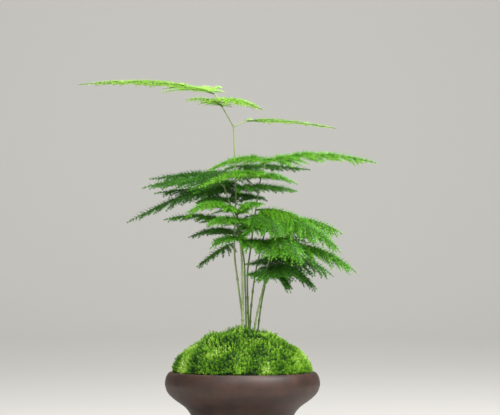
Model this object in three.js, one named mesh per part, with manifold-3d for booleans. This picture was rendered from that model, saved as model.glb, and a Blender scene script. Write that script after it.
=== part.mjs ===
// A lace fern (Asparagus setaceus) in a round clay pot, its soil covered by a dome of moss.
// Millimetres, +Z up, with the origin at the middle of the pot's foot. The plant's best side faces -Y.
import * as THREE from "three";
import { mergeVertices } from "three/addons/utils/BufferGeometryUtils.js";
import Module from "manifold-3d";

const wasm = await Module();
wasm.setup();

// Driving dimensions of the pot
const POT_HEIGHT = 62;
const POT_RADIUS = 62.4; // on the shoulder, where the pot is widest
const SHOULDER_HEIGHT = 51.5;
const LIP_RADIUS = 57.4; // of the ring along the top of the rolled lip
const MOUTH_RADIUS = 53.4;
const LIP_ROLL = 4; // radius of the lip's inner edge
const WAIST_RADIUS = 40;
const FOOT_RADIUS = 39;
const FOOT_BEVEL = 1.2;
const POT_FLOOR = 8.5;
const DRAIN_RADIUS = 4;
const DRAIN_CIRCLE = 19; // radius of the circle on which the drain holes lie
const DRAINS = 3;
const DRAIN_SIDES = 12;
const POT_SIDES = 28;

// Driving dimensions of the soil and of the moss laid over it
const GAP = 0.35; // free space between pieces that touch
const SOIL_SHOULDER = 56.5; // height of the ring of soil just inside the lip
const SOIL_RADIUS = 47;
const SOIL_RISE = 29;
const SOIL_EDGE = 2; // from that ring down to where the soil meets the wall
const SOIL_RINGS = 4;
const SOIL_SIDES = 14;
const MOSS_RADIUS = 53.4;
const MOSS_BASE = 59.5;
const MOSS_RISE = 35.4;
const MOSS_SLOPE = 74; // from the moss's top down to its edge, along its surface
const TUFT_SPACING = 7.5; // between neighbouring points of the moss, of which one in three is a tuft's tip
const TUFT_HEIGHT = 2.8;
const TUFT_JITTER = 1.3;
const TUFT_VARY = 0.3; // how much longer or shorter than usual a tuft is, as a share
const LIP_COVER = 0.68 * Math.PI; // angle round the lip's inner edge at which the moss lets go of it
const DOME_BREADTH = 1.5; // the higher, the further out the dome stays flat
const DOME_STEEPNESS = 0.52; // the lower, the steeper it stands on its rim

// Driving dimensions of the plant
const STEM_SIDES = 5;
const STEM_STEPS = 2; // straight lengths between two of a stem's points
const KNUCKLE = 1.5; // how much thicker a stem is at its tip, where a frond leaves it
const SCALE_LENGTH = 2.6; // of the dry little scale leaf at each bare joint of a stem
const SCALE_WIDTH = 0.9; // its radius, as a share of the stem's
const SCALE_RISE = 58; // degrees that it stands over the level
const HOLE_EASE = 1.2; // gaps between a stem and the corners of its hole, whose flat sides come closer
const HOLE_REACH = 30; // how far over the moss's top a hole is cut
const MIDRIB_RADIUS = 0.7; // of a frond's midrib at its foot
const TWIG_RADIUS = 0.55;
const TIP_RADIUS = 0.42;
const MIDRIB_STEPS = 6;
const TWIG_STEPS = 3;
const TWIG_CURL = 16; // degrees that a side twig turns towards its frond's tip
const TWIG_SAG = 16;
const TWIG_START = 0.04; // share of a midrib below its first side twig
const TWIG_STRETCH = 0.82; // share of a midrib that carries side twigs
const TWIG_SHUFFLE = 0.2; // how far a side twig is moved from its even place, in spacings
const SPLAY = [88, 36]; // degrees between the midrib and its side twigs, at its foot and at its tip
const SPLAY_VARY = 6;
const LIFT_VARY = 4;
const SPAN_TAPER = 0.75; // the lower, the fuller a frond stays towards its tip
const SPAN_START = 0.8; // length of the side twigs at the midrib's foot, as a share of the longest
const SPAN_GROWTH = 1.5;
const SPAN_VARY = 0.12;
const NEEDLE_LENGTH = 4.8;
const NEEDLE_RADIUS = 0.36;
const NEEDLE_LEAN = 50; // degrees between a needle and its twig
const NEEDLE_TURN = 30; // degrees within which a needle is turned about its twig
const NEEDLE_VARY = 0.15;
const WHORL_SPACING = 21; // along a twig; the real plant has a tuft of needles at every 2 to 4 mm
const WHORL_WIDTH = 0.8;
const WHORL_SEAT = 0.86; // where in its stretch of the twig a whorl sits

const rad = THREE.MathUtils.degToRad;
const deg = THREE.MathUtils.radToDeg;
const vec = (x, y, z) => new THREE.Vector3(x, y, z);
const flat = (r, z) => new THREE.Vector2(r, z);

// The pot's outside wall from the foot up to the shoulder, as radius and height.
const WALL = [flat(WAIST_RADIUS - 0.5, 14), flat(WAIST_RADIUS + 0.6, 25), flat(45.6, 33), flat(54.8, 40),
  flat(60.2, 45.4), flat(POT_RADIUS, SHOULDER_HEIGHT)];

// The pot's inside wall from the lip down, as radius and height. The soil fills it.
const HOLLOW = [flat(MOUTH_RADIUS, POT_HEIGHT - LIP_ROLL), flat(53.6, 49), flat(48.4, 41), flat(38, 33),
  flat(34, 22), flat(32, POT_FLOOR)];

// Each stem: its points from the root end up, in mm, its radius at both ends, and the heights of its bare
// joints.
const STEMS = {
  tall: {
    points: [[2.2, 3.4, 72], [1.2, 3.2, 95], [-3.8, 2.6, 134], [-6.5, 2.4, 160],
      [-5.4, 2.8, 205], [-7.2, 3, 259]],
    radius: [0.85, 0.55],
    joints: [136, 224],
  },
  thick: {
    points: [[0.6, -6.2, 70], [0.4, -6.2, 92], [0, -5.6, 128], [-0.6, -5.2, 152],
      [-2.4, -6.6, 172], [-4.4, -9, 188]],
    radius: [1.15, 0.7],
    joints: [104, 141],
  },
  left: {
    points: [[3.8, -1.8, 70], [3.2, -1.6, 95], [2.2, -1.4, 128], [0.8, -1.6, 155],
      [-6, -3.6, 184], [-15, -6, 211]],
    radius: [0.8, 0.5],
    joints: [109.5, 196],
  },
  upright: {
    points: [[6.4, 3.8, 72], [5.2, 3.6, 95], [3.9, 3.2, 137], [6.4, 3.6, 160],
      [11.2, 4.4, 196], [14.4, 5, 216], [19, 5.4, 231]],
    radius: [0.85, 0.5],
    joints: [121, 139],
  },
  middle: {
    points: [[6.2, 8.4, 72], [6, 8, 97], [7.6, 7, 120], [10.6, 6, 142], [15.6, 3, 164], [19.4, 0, 181]],
    radius: [0.8, 0.5],
    joints: [102, 115, 126],
  },
  right: {
    points: [[9.2, -2.4, 70], [9.6, -2.4, 95], [12.6, -2.8, 112], [17.6, -3.6, 134], [22.4, -6.4, 158]],
    radius: [0.85, 0.55],
    joints: [101, 110, 120],
  },
  outer: {
    points: [[12.6, 3.6, 70], [12.4, 3.8, 92], [14.8, 4.6, 114], [18, 6, 130], [21, 8, 143]],
    radius: [0.85, 0.5],
    joints: [103, 114],
  },
};

// The forked top of the tall stem: two short stalks from its end.
const STALKS = {
  left_stalk: { stem: "tall", to: [-22.5, 11, 286], radius: [0.6, 0.45] },
  right_stalk: { stem: "tall", to: [3.4, 8, 264], radius: [0.5, 0.4] },
};

// Each frond: the stem it grows on and how far up it (0 to 1), where its midrib's tip hangs, how high the
// midrib arches over the straight way there and how far it sweeps to the left of it, the number of its side
// twigs and the length of the longest, then in degrees how far it is tilted to its right and its sides hang.
const FRONDS = {
  top_left: { on: "left_stalk", at: 1, tip: [-136, 58, 296.4], arch: 5.6, sweep: -10,
    twigs: [12, 46], tilt: [0, -3] },
  top_near: { on: "left_stalk", at: 0.77, tip: [16, -28, 271], arch: 4, sweep: -4,
    twigs: [8, 30], tilt: [1, 2] },
  top_right: { on: "right_stalk", at: 1, tip: [76, 18, 258.3], arch: 2.5, sweep: 10,
    twigs: [8, 22], tilt: [0, -5] },
  crown_right: { on: "upright", at: 1, tip: [109, 12, 229.8], arch: 7.2, sweep: 16,
    twigs: [10, 36], tilt: [0, 8] },
  crown_near: { on: "upright", at: 1, tip: [-28, -16, 223], arch: 6, sweep: 8,
    twigs: [7, 24], tilt: [0, 4] },
  crown_low: { on: "tall", at: 0.83, tip: [55, 30, 225], arch: 2, sweep: 8, twigs: [7, 26], tilt: [0, 4] },
  fore_left: { on: "upright", at: 0.91, tip: [-35, -26, 209], arch: 8, sweep: 10,
    twigs: [8, 26], tilt: [0, 4] },
  fore_right: { on: "upright", at: 0.92, tip: [41, -14, 214], arch: 3, sweep: -6,
    twigs: [6, 20], tilt: [0, 3] },
  mid_right: { on: "tall", at: 0.735, tip: [44, 8, 207], arch: 3, sweep: -8, twigs: [7, 26], tilt: [0, 5] },
  crown_left: { on: "left", at: 1, tip: [-82, 32, 210], arch: 6.5, sweep: -10,
    twigs: [8, 36], tilt: [4, 5] },
  crown_back: { on: "tall", at: 0.8, tip: [-77, 56, 218], arch: 2.5, sweep: -10,
    twigs: [8, 36], tilt: [0, 6] },
  rear_mid: { on: "tall", at: 0.72, tip: [-73, 50, 206], arch: 3.5, sweep: -8,
    twigs: [7, 32], tilt: [0, 12] },
  rear_left: { on: "tall", at: 0.76, tip: [-95, 46, 182], arch: 7, sweep: -10,
    twigs: [9, 36], tilt: [6, 6] },
  low_left: { on: "tall", at: 0.58, tip: [-64, 18, 184], arch: 5, sweep: -6, twigs: [7, 30], tilt: [0, 6] },
  back_low: { on: "tall", at: 0.53, tip: [-44, 36, 170], arch: 6, sweep: -8, twigs: [6, 24], tilt: [0, 6] },
  under_left: { on: "tall", at: 0.5, tip: [-37, 14, 146], arch: 3, sweep: -4,
    twigs: [5, 17], tilt: [0, 10] },
  mid_left: { on: "thick", at: 1, tip: [-45, -24, 189], arch: 8, sweep: 6, twigs: [8, 28], tilt: [4, 8] },
  mid_near: { on: "thick", at: 1, tip: [3, -30, 193], arch: 6, sweep: 8, twigs: [6, 20], tilt: [0, 4] },
  front_left: { on: "thick", at: 0.93, tip: [-28, -34, 180], arch: 5, sweep: 6,
    twigs: [8, 25], tilt: [4, 10] },
  apron_left: { on: "thick", at: 0.82, tip: [-24, -26, 164], arch: 4, sweep: 4,
    twigs: [7, 22], tilt: [4, 6] },
  apron_right: { on: "thick", at: 0.8, tip: [24, -36, 154], arch: 7, sweep: 6,
    twigs: [8, 30], tilt: [-4, 14] },
  core_left: { on: "left", at: 0.9, tip: [-38, 10, 198], arch: 4, sweep: -6, twigs: [6, 26], tilt: [0, 4] },
  core: { on: "upright", at: 0.81, tip: [-8, 16, 205], arch: 1, sweep: -3, twigs: [6, 18], tilt: [0, 8] },
  core_near: { on: "middle", at: 0.97, tip: [0, -24, 172], arch: 5, sweep: 4,
    twigs: [7, 28], tilt: [0, 16] },
  heart: { on: "upright", at: 0.7, tip: [30, -36, 170], arch: 8, sweep: 0, twigs: [9, 34], tilt: [-4, 14] },
  core_back: { on: "upright", at: 0.72, tip: [62, 34, 164], arch: 9, sweep: 6,
    twigs: [8, 34], tilt: [0, 18] },
  shoulder: { on: "upright", at: 0.75, tip: [66, -12, 170], arch: 7.5, sweep: 4,
    twigs: [11, 38], tilt: [-2, 22] },
  shoulder_far: { on: "middle", at: 1, tip: [81, -6, 172], arch: 8, sweep: 6,
    twigs: [9, 34], tilt: [-2, 30] },
  shoulder_low: { on: "middle", at: 0.93, tip: [79, -22, 157], arch: 15, sweep: 0,
    twigs: [10, 38], tilt: [-4, 20] },
  inner: { on: "middle", at: 0.84, tip: [46, -44, 148], arch: 12, sweep: 4,
    twigs: [9, 36], tilt: [-8, 18] },
  cascade: { on: "right", at: 1, tip: [92, -6, 141], arch: 12, sweep: 4, twigs: [10, 40], tilt: [-2, 19] },
  rear_right: { on: "right", at: 0.86, tip: [74, 30, 138], arch: 13, sweep: 6,
    twigs: [10, 38], tilt: [-10, 18] },
  under_near: { on: "right", at: 0.78, tip: [14, -30, 136], arch: 5, sweep: 4,
    twigs: [7, 26], tilt: [0, 12] },
  under_right: { on: "outer", at: 0.86, tip: [37, 2, 129], arch: 9, sweep: 2,
    twigs: [7, 26], tilt: [-6, 14] },
  under_far: { on: "outer", at: 1, tip: [60, 22, 128], arch: 10, sweep: 4,
    twigs: [8, 32], tilt: [-10, 14] },
  top_low: { on: "left_stalk", at: 0.6, tip: [-45, -14, 280], arch: 3, sweep: 4,
    twigs: [5, 16], tilt: [0, 6] },
};

// A stream of even numbers from 0 to 1 that is the same on every run.
function stream(seed) {
  let state = seed;
  return () => {
    state = (state * 16807) % 2147483647;
    return state / 2147483647;
  };
}

// The height of a dome over its rim at a distance r from the middle: steep at the edge and flat on top.
function dome(r, radius, rise) {
  const inward = Math.max(0, 1 - Math.pow(r / radius, DOME_BREADTH));
  return rise * Math.pow(inward, DOME_STEEPNESS);
}

// A geometry as a closed solid that can be cut and joined.
function solid(geometry) {
  const bare = geometry.clone();
  bare.deleteAttribute("normal");
  bare.deleteAttribute("uv");
  const merged = mergeVertices(bare, 1e-4);
  return new wasm.Manifold(
    new wasm.Mesh({
      numProp: 3,
      vertProperties: new Float32Array(merged.getAttribute("position").array),
      triVerts: new Uint32Array(merged.index.array),
    }),
  );
}

// A solid back as a geometry: its largest body, without any loose scrap that a cut left.
function geometryOf(manifold) {
  const bodies = manifold.decompose().sort((a, b) => b.volume() - a.volume());
  const mesh = bodies[0].getMesh();
  const geometry = new THREE.BufferGeometry();
  geometry.setAttribute("position", new THREE.BufferAttribute(mesh.vertProperties, 3));
  geometry.setIndex(new THREE.BufferAttribute(mesh.triVerts, 1));
  geometry.computeVertexNormals();
  return geometry;
}

function lathe(profile, sides) {
  const turned = new THREE.LatheGeometry(profile, sides);
  turned.rotateX(Math.PI / 2); // the profile is turned about Y, and the pot stands along Z
  return turned;
}

// A tube along a line of points, with a radius for each: a cylinder whose rings are moved to the points.
function tube(points, radii, sides) {
  const lengths = points.length - 1;
  const shape = new THREE.CylinderGeometry(1, 1, lengths, sides, lengths);
  const side = vec(0, 0, 0);
  const frames = points.map((point, i) => {
    const along = points[Math.min(i + 1, lengths)].clone().sub(points[Math.max(i - 1, 0)]).normalize();
    if (i === 0) side.set(Math.abs(along.z) > 0.9 ? 1 : 0, 0, Math.abs(along.z) > 0.9 ? 0 : 1);
    side.addScaledVector(along, -side.dot(along)).normalize();
    return { side: side.clone(), across: side.clone().cross(along) };
  });
  const at = shape.getAttribute("position");
  for (let i = 0; i < at.count; i++) {
    const ring = Math.round(at.getY(i) + lengths / 2);
    const place = points[ring].clone();
    place.addScaledVector(frames[ring].side, at.getX(i) * radii[ring]);
    place.addScaledVector(frames[ring].across, at.getZ(i) * radii[ring]);
    at.setXYZ(i, place.x, place.y, place.z);
  }
  return shape;
}

// A three-sided spike that starts on its foot.
function spike(foot, direction, length, radius) {
  const shape = new THREE.ConeGeometry(radius, length, 3);
  shape.translate(0, length / 2, 0);
  shape.applyQuaternion(new THREE.Quaternion().setFromUnitVectors(vec(0, 1, 0), direction));
  shape.translate(foot.x, foot.y, foot.z);
  return shape;
}

function directionOf(heading, rise) {
  const level = Math.cos(rad(rise));
  return vec(level * Math.cos(rad(heading)), level * Math.sin(rad(heading)), Math.sin(rad(rise)));
}

// A line that turns and droops evenly from its foot to its tip.
function bow(foot, [heading, rise, length], [turn, droop], steps) {
  const points = [foot.clone()];
  for (let i = 0; i < steps; i++) {
    const share = (i + 0.5) / steps;
    const along = directionOf(heading + turn * share, rise - droop * share);
    points.push(points[i].clone().addScaledVector(along, length / steps));
  }
  return points;
}

// The place at a share, from 0 to 1, of a line's length, and the way the line runs there.
function placeOn(points, share) {
  const lengths = points.slice(1).map((point, i) => point.distanceTo(points[i]));
  let left = share * lengths.reduce((sum, length) => sum + length, 0);
  let i = 0;
  while (i < lengths.length - 1 && left > lengths[i]) {
    left -= lengths[i];
    i += 1;
  }
  const along = points[i + 1].clone().sub(points[i]).normalize();
  return { place: points[i].clone().addScaledVector(along, Math.min(left, lengths[i])), along };
}

// The least distance between two straight lengths.
function gapBetween(a, b, c, d) {
  const u = b.clone().sub(a);
  const v = d.clone().sub(c);
  const w = a.clone().sub(c);
  const uu = u.dot(u);
  const uv = u.dot(v);
  const vv = v.dot(v);
  const uw = u.dot(w);
  const vw = v.dot(w);
  const spread = uu * vv - uv * uv;
  let s = spread > 1e-9 ? THREE.MathUtils.clamp((uv * vw - vv * uw) / spread, 0, 1) : 0;
  const t = THREE.MathUtils.clamp((uv * s + vw) / vv, 0, 1);
  s = THREE.MathUtils.clamp((uv * t - uw) / uu, 0, 1);
  return a.clone().addScaledVector(u, s).distanceTo(c.clone().addScaledVector(v, t));
}

// What already stands in the air, as straight lengths, so that each piece of the plant keeps clear of the
// others.
const standing = [];

function stand(piece, points, radii) {
  for (let i = 1; i < points.length; i++) {
    standing.push({ piece, a: points[i - 1], b: points[i], radius: radii[i - 1] });
  }
}

// Whether a straight length keeps clear of all pieces but its own and the one that carries it.
function isClear(piece, a, b, radius, carrier) {
  const reach = a.distanceTo(b) / 2;
  const middle = a.clone().lerp(b, 0.5);
  return standing.every((other) => {
    if (other.piece === piece || other.piece === carrier) return true;
    const need = radius + other.radius + GAP;
    const far = reach + need + other.a.distanceTo(other.b);
    if (middle.distanceTo(other.a) > far) return true;
    return gapBetween(a, b, other.a, other.b) > need;
  });
}

function pot() {
  const outline = new THREE.Path();
  outline.moveTo(0, 0);
  outline.lineTo(FOOT_RADIUS - FOOT_BEVEL, 0);
  outline.lineTo(FOOT_RADIUS, FOOT_BEVEL);
  for (const point of WALL) outline.lineTo(point.x, point.y);
  const lip = POT_HEIGHT - SHOULDER_HEIGHT;
  outline.absellipse(LIP_RADIUS, SHOULDER_HEIGHT, POT_RADIUS - LIP_RADIUS, lip, 0, Math.PI / 2);
  const rollCentre = POT_HEIGHT - LIP_ROLL;
  outline.absellipse(LIP_RADIUS, rollCentre, LIP_RADIUS - MOUTH_RADIUS, LIP_ROLL, Math.PI / 2, Math.PI);
  for (const point of HOLLOW) outline.lineTo(point.x, point.y);
  outline.lineTo(0, POT_FLOOR);
  let body = solid(lathe(outline.getPoints(2), POT_SIDES));
  for (let i = 0; i < DRAINS; i++) {
    const drain = new THREE.CylinderGeometry(DRAIN_RADIUS, DRAIN_RADIUS, 4 * POT_FLOOR, DRAIN_SIDES);
    drain.rotateX(Math.PI / 2);
    const angle = (2 * Math.PI * i) / DRAINS + Math.PI / 2;
    drain.translate(DRAIN_CIRCLE * Math.cos(angle), DRAIN_CIRCLE * Math.sin(angle), 0);
    body = body.subtract(solid(drain));
  }
  return body;
}

// The soil fills the pot up to its lip and rises as a dome under the moss. It can be grown outwards a little.
function soil(grow) {
  const profile = [flat(0, POT_FLOOR + GAP)];
  for (const point of HOLLOW.slice(1).reverse()) profile.push(flat(point.x - 2 * GAP, point.y + GAP));
  profile.push(flat(MOUTH_RADIUS - 2 * GAP, SOIL_SHOULDER - SOIL_EDGE));
  for (let i = 0; i <= SOIL_RINGS; i++) {
    const r = SOIL_RADIUS * Math.cos((Math.PI / 2) * (i / SOIL_RINGS));
    const height = SOIL_SHOULDER + dome(r, SOIL_RADIUS, SOIL_RISE);
    profile.push(flat(i === SOIL_RINGS ? 0 : r + grow, height + grow));
  }
  return solid(lathe(profile, SOIL_SIDES));
}

// The moss is a net of small triangles drawn over a dome, of which every third point stands out as the tip
// of a tuft. It lies on the soil, fills the mouth of the pot and rounds a little way over the lip.
function moss() {
  const random = stream(71);
  const rowSpacing = (TUFT_SPACING * Math.sqrt(3)) / 2;
  const cells = 3 * Math.ceil((MOSS_SLOPE + TUFT_SPACING) / rowSpacing);
  const net = new THREE.BoxGeometry(1, 1, 1, cells, cells, 1);
  const draws = Array.from({ length: (cells + 1) ** 2 }, () => [random(), random(), random()]);
  const at = net.getAttribute("position");
  for (let i = 0; i < at.count; i++) {
    const column = Math.round((at.getX(i) + 0.5) * cells);
    const row = Math.round((at.getY(i) + 0.5) * cells);
    const [aside, back, up] = draws[row * (cells + 1) + column];
    const fromMiddle = column - cells / 2 - (row - cells / 2) / 2;
    const x = fromMiddle * TUFT_SPACING + (aside - 0.5) * TUFT_JITTER;
    const y = (row - cells / 2) * rowSpacing + (back - 0.5) * TUFT_JITTER;
    if (at.getZ(i) < 0) {
      at.setXYZ(i, x, y, SOIL_SHOULDER - TUFT_HEIGHT);
      continue;
    }
    const down = Math.hypot(x, y);
    const slope = (Math.PI / 2) * Math.min(1, down / MOSS_SLOPE);
    const r = MOSS_RADIUS * Math.sin(slope) + Math.max(0, down - MOSS_SLOPE);
    const tuft = (row + column) % 3 === 0 ? TUFT_HEIGHT * (1 + TUFT_VARY * (2 * up - 1)) : 0;
    const out = (r + tuft * Math.sin(slope)) / down;
    at.setXYZ(i, x * out, y * out, MOSS_BASE + dome(r, MOSS_RADIUS, MOSS_RISE) + tuft * Math.cos(slope));
  }
  const space = new THREE.Path();
  space.moveTo(0, SOIL_SHOULDER + GAP);
  space.lineTo(MOUTH_RADIUS - 2 * GAP, SOIL_SHOULDER + GAP);
  const roll = LIP_RADIUS - MOUTH_RADIUS + 2 * GAP;
  space.absellipse(LIP_RADIUS, POT_HEIGHT - LIP_ROLL, roll, LIP_ROLL + GAP, Math.PI, LIP_COVER, true);
  space.lineTo(MOSS_RADIUS + TUFT_HEIGHT, POT_HEIGHT + 2 * MOSS_RISE);
  space.lineTo(0, POT_HEIGHT + 2 * MOSS_RISE);
  return solid(net).intersect(solid(lathe(space.getPoints(2), POT_SIDES))).subtract(soil(GAP));
}

// A stem as a smooth line through its points.
function stemLine(stem) {
  const curve = new THREE.CatmullRomCurve3(stem.points.map((p) => vec(...p)), false, "catmullrom", 0.5);
  return curve.getPoints((stem.points.length - 1) * STEM_STEPS);
}

function radiusAt([foot, tip], share) {
  return THREE.MathUtils.lerp(foot, tip, share);
}

function taper(points, radius) {
  return points.map((point, i) => radiusAt(radius, i / (points.length - 1)));
}

// A stem's radii: even taper up to a knuckle at the end, where its last frond leaves it.
function stemRadii({ points, radius }) {
  return [...taper(points, radius).slice(0, -1), KNUCKLE * radius[1]];
}

// The hole that a stem stands in: its lowest stretch, wider by the gap all round and at its end.
function sleeve(name) {
  const { points, radius } = lines[name];
  const reach = points.filter((point) => point.z < MOSS_BASE + MOSS_RISE + HOLE_REACH);
  const away = reach[0].clone().sub(reach[1]).normalize();
  const start = reach[0].clone().addScaledVector(away, GAP);
  const width = radius[0] + HOLE_EASE * GAP;
  return solid(tube([start, ...reach.slice(1)], reach.map(() => width), STEM_SIDES));
}

// The lines of every stem and stalk by name, each with the node that it belongs to and its radius at both
// ends.
const lines = {};
for (const [name, stem] of Object.entries(STEMS)) {
  lines[name] = { node: `stem_${name}`, points: stemLine(stem), radius: stem.radius };
}
for (const [name, stalk] of Object.entries(STALKS)) {
  const foot = lines[stalk.stem].points.at(-1);
  lines[name] = { node: `stem_${stalk.stem}`, points: [foot, vec(...stalk.to)], radius: stalk.radius };
}
for (const { node, points, radius } of Object.values(lines)) stand(node, points, taper(points, radius));

// A stem with its stalks and a scale leaf at each bare joint.
function stem(name) {
  const random = stream(STEMS[name].points.length * 1000 + STEMS[name].joints[0]);
  const pieces = [];
  for (const line of Object.values(lines).filter((other) => other.node === `stem_${name}`)) {
    pieces.push(solid(tube(line.points, stemRadii(line), STEM_SIDES)));
  }
  const { points, radius } = lines[name];
  for (const height of STEMS[name].joints) {
    const above = points.findIndex((point) => point.z > height);
    const share = (height - points[above - 1].z) / (points[above].z - points[above - 1].z);
    const joint = points[above - 1].clone().lerp(points[above], share);
    const outward = directionOf(360 * random(), SCALE_RISE);
    pieces.push(solid(spike(joint, outward, SCALE_LENGTH, SCALE_WIDTH * radius[0])));
  }
  return wasm.Manifold.union(pieces);
}

// A line up to the first length of it that comes too near another piece. Its first length may touch what
// carries it.
function clearPart(node, points, radius, carrier) {
  const blocked = points.findIndex(
    (point, i) => i > 0 && !isClear(node, points[i - 1], point, radius, i === 1 ? carrier : node),
  );
  return blocked < 0 ? points : points.slice(0, blocked);
}

// The arc that each frond's midrib follows, and the midrib itself, which starts just off the stem that
// carries it. The arc's middle corner lies twice as far out as the arc comes there.
const arcs = {};
const midribs = {};
for (const [name, { on, at, tip, arch, sweep }] of Object.entries(FRONDS)) {
  const { node, points, radius } = lines[on];
  const { place: foot, along } = placeOn(points, at);
  const end = vec(...tip);
  const left = vec(foot.y - end.y, end.x - foot.x, 0).normalize();
  const crest = foot.clone().lerp(end, 0.5).addScaledVector(left, 2 * sweep);
  crest.z += 2 * arch;
  const outward = crest.clone().sub(foot).normalize();
  const lean = outward.angleTo(along);
  const slant = Math.sin(lean) * Math.cos(lean);
  const onTip = KNUCKLE * radius[1] * Math.sin(lean) + GAP + MIDRIB_RADIUS * slant;
  const onSide = (radiusAt(radius, at) + GAP + MIDRIB_RADIUS * Math.abs(Math.cos(lean))) / Math.sin(lean);
  foot.addScaledVector(outward, at === 1 ? onTip : onSide);
  arcs[name] = new THREE.QuadraticBezierCurve3(foot, crest, end);
  midribs[name] = clearPart(`frond_${name}`, arcs[name].getPoints(MIDRIB_STEPS), MIDRIB_RADIUS, node);
  stand(`frond_${name}`, midribs[name], midribs[name].map(() => MIDRIB_RADIUS));
}

// The lines of one frond: its midrib, then its side twigs in turn to its left and right.
function frondLines(name) {
  const { twigs: [count, span], tilt: [bank, hang] } = FRONDS[name];
  const node = `frond_${name}`;
  const random = stream(7 + 101 * Object.keys(FRONDS).indexOf(name));
  const around = (spread) => (2 * random() - 1) * spread;
  const made = [{ points: midribs[name], radius: MIDRIB_RADIUS }];
  for (let i = 0; i < count; i++) {
    const side = i % 2 ? -1 : 1;
    const share = TWIG_START + (TWIG_STRETCH * (i + 0.5 + around(TWIG_SHUFFLE))) / count;
    const along = arcs[name].getTangent(share);
    const splay = THREE.MathUtils.lerp(...SPLAY, share) + around(SPLAY_VARY);
    const fullness = Math.pow(1 - share, SPAN_TAPER) * Math.min(1, SPAN_START + SPAN_GROWTH * share);
    const length = span * fullness * (1 + around(SPAN_VARY));
    const carried = deg(Math.asin(along.z)) * (0.5 + 0.5 * Math.cos(rad(splay)));
    const lift = carried - side * bank - hang + around(LIFT_VARY);
    const heading = deg(Math.atan2(along.y, along.x)) + side * splay;
    const foot = placeOn(midribs[name], share).place;
    const outward = [heading, lift, Math.max(length, 2 * NEEDLE_LENGTH)];
    const points = bow(foot, outward, [-side * TWIG_CURL, TWIG_SAG], TWIG_STEPS);
    made.push({ points: clearPart(node, points, TWIG_RADIUS), radius: TWIG_RADIUS });
  }
  return made.filter((line) => line.points.length > 1);
}

// A twig as one closed surface: a slim three-sided core with a whorl of three needles at even steps along it,
// each whorl turned from the last, and one more needle on its tip. A needle that would reach another piece is
// left out.
function leafyTwig(node, { points, radius }, random) {
  const length = points.slice(1).reduce((sum, point, i) => sum + point.distanceTo(points[i]), 0);
  const whorls = Math.max(1, Math.round(length / WHORL_SPACING));
  const shares = [0];
  for (let i = 0; i < whorls; i++) {
    const share = (i + WHORL_SEAT) / whorls;
    shares.push(share - WHORL_WIDTH / length / 2, share + WHORL_WIDTH / length / 2);
  }
  const around = (spread) => (2 * random() - 1) * spread;
  const corners = [];
  const faces = [];
  const tips = [];
  const outward = [];
  shares.forEach((share, ring) => {
    const { place, along } = placeOn(points, share);
    const up = vec(0, 0, 1).addScaledVector(along, -along.z).normalize();
    const aside = along.clone().cross(up);
    const turn = 60 * Math.ceil(ring / 2);
    for (let k = 0; k < 3; k++) {
      const angle = rad(turn + 120 * k);
      const out = up.clone().multiplyScalar(Math.cos(angle)).addScaledVector(aside, Math.sin(angle));
      corners.push(place.clone().addScaledVector(out, radiusAt([radius, TIP_RADIUS], share)));
    }
    outward.push({ along, up, aside, turn });
  });
  const raise = (a, b, c, way) => {
    const middle = corners[a].clone().add(corners[b]).add(corners[c]).divideScalar(3);
    const tip = middle.clone().addScaledVector(way, NEEDLE_LENGTH * (1 + around(NEEDLE_VARY)));
    if (!isClear(node, middle, tip, NEEDLE_RADIUS)) {
      faces.push([a, b, c]);
      return;
    }
    tips.push([middle, tip]);
    const d = corners.push(tip) - 1;
    faces.push([a, b, d], [b, c, d], [c, a, d]);
  };
  faces.push([0, 2, 1]);
  for (let ring = 1; ring < shares.length; ring++) {
    const { along, up, aside, turn } = outward[ring];
    for (let k = 0; k < 3; k++) {
      const a = 3 * (ring - 1) + k;
      const b = 3 * (ring - 1) + ((k + 1) % 3);
      faces.push([b, b + 3, a + 3]);
      if (ring % 2) {
        faces.push([a, b, a + 3]);
        continue;
      }
      const angle = rad(turn + 120 * k + 60 + around(NEEDLE_TURN / 2));
      const out = up.clone().multiplyScalar(Math.cos(angle)).addScaledVector(aside, Math.sin(angle));
      const lean = rad(NEEDLE_LEAN * (1 + around(NEEDLE_VARY)));
      raise(a, b, a + 3, along.clone().multiplyScalar(Math.cos(lean)).addScaledVector(out, Math.sin(lean)));
    }
  }
  const last = 3 * (shares.length - 1);
  raise(last, last + 1, last + 2, outward.at(-1).along);
  const surface = new THREE.BufferGeometry().setFromPoints(corners).setIndex(faces.flat());
  return { surface, tips };
}

function frond(name) {
  const node = `frond_${name}`;
  const random = stream(31 + 97 * Object.keys(FRONDS).indexOf(name));
  const grown = frondLines(name);
  const twigs = grown.map((line) => leafyTwig(node, line, random));
  for (const { points, radius } of grown.slice(1)) stand(node, points, points.map(() => radius));
  for (const [foot, tip] of twigs.flatMap((twig) => twig.tips)) stand(node, [foot, tip], [NEEDLE_RADIUS]);
  return wasm.Manifold.union(twigs.map((twig) => solid(twig.surface)));
}

const finishes = {
  clay: new THREE.MeshStandardMaterial({ color: "#5b4741", roughness: 0.62 }),
  earth: new THREE.MeshStandardMaterial({ color: "#3a2c20", roughness: 0.95 }),
  moss: new THREE.MeshStandardMaterial({ color: "#8a9a1f", roughness: 0.9 }),
  stem: new THREE.MeshStandardMaterial({ color: "#8fa06a", roughness: 0.6 }),
  needle: new THREE.MeshStandardMaterial({ color: "#6f9a2c", roughness: 0.7 }),
};

const fern = new THREE.Group();

function piece(name, made, finish) {
  const mesh = new THREE.Mesh(geometryOf(made), finish.clone());
  mesh.name = name;
  fern.add(mesh);
}

piece("pot", pot(), finishes.clay);
const sleeves = wasm.Manifold.union(Object.keys(STEMS).map(sleeve));
piece("soil", soil(0).subtract(sleeves), finishes.earth);
piece("moss", moss().subtract(sleeves), finishes.moss);
for (const name of Object.keys(STEMS)) piece(`stem_${name}`, stem(name), finishes.stem);
for (const name of Object.keys(FRONDS)) piece(`frond_${name}`, frond(name), finishes.needle);

export default fern;
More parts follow.
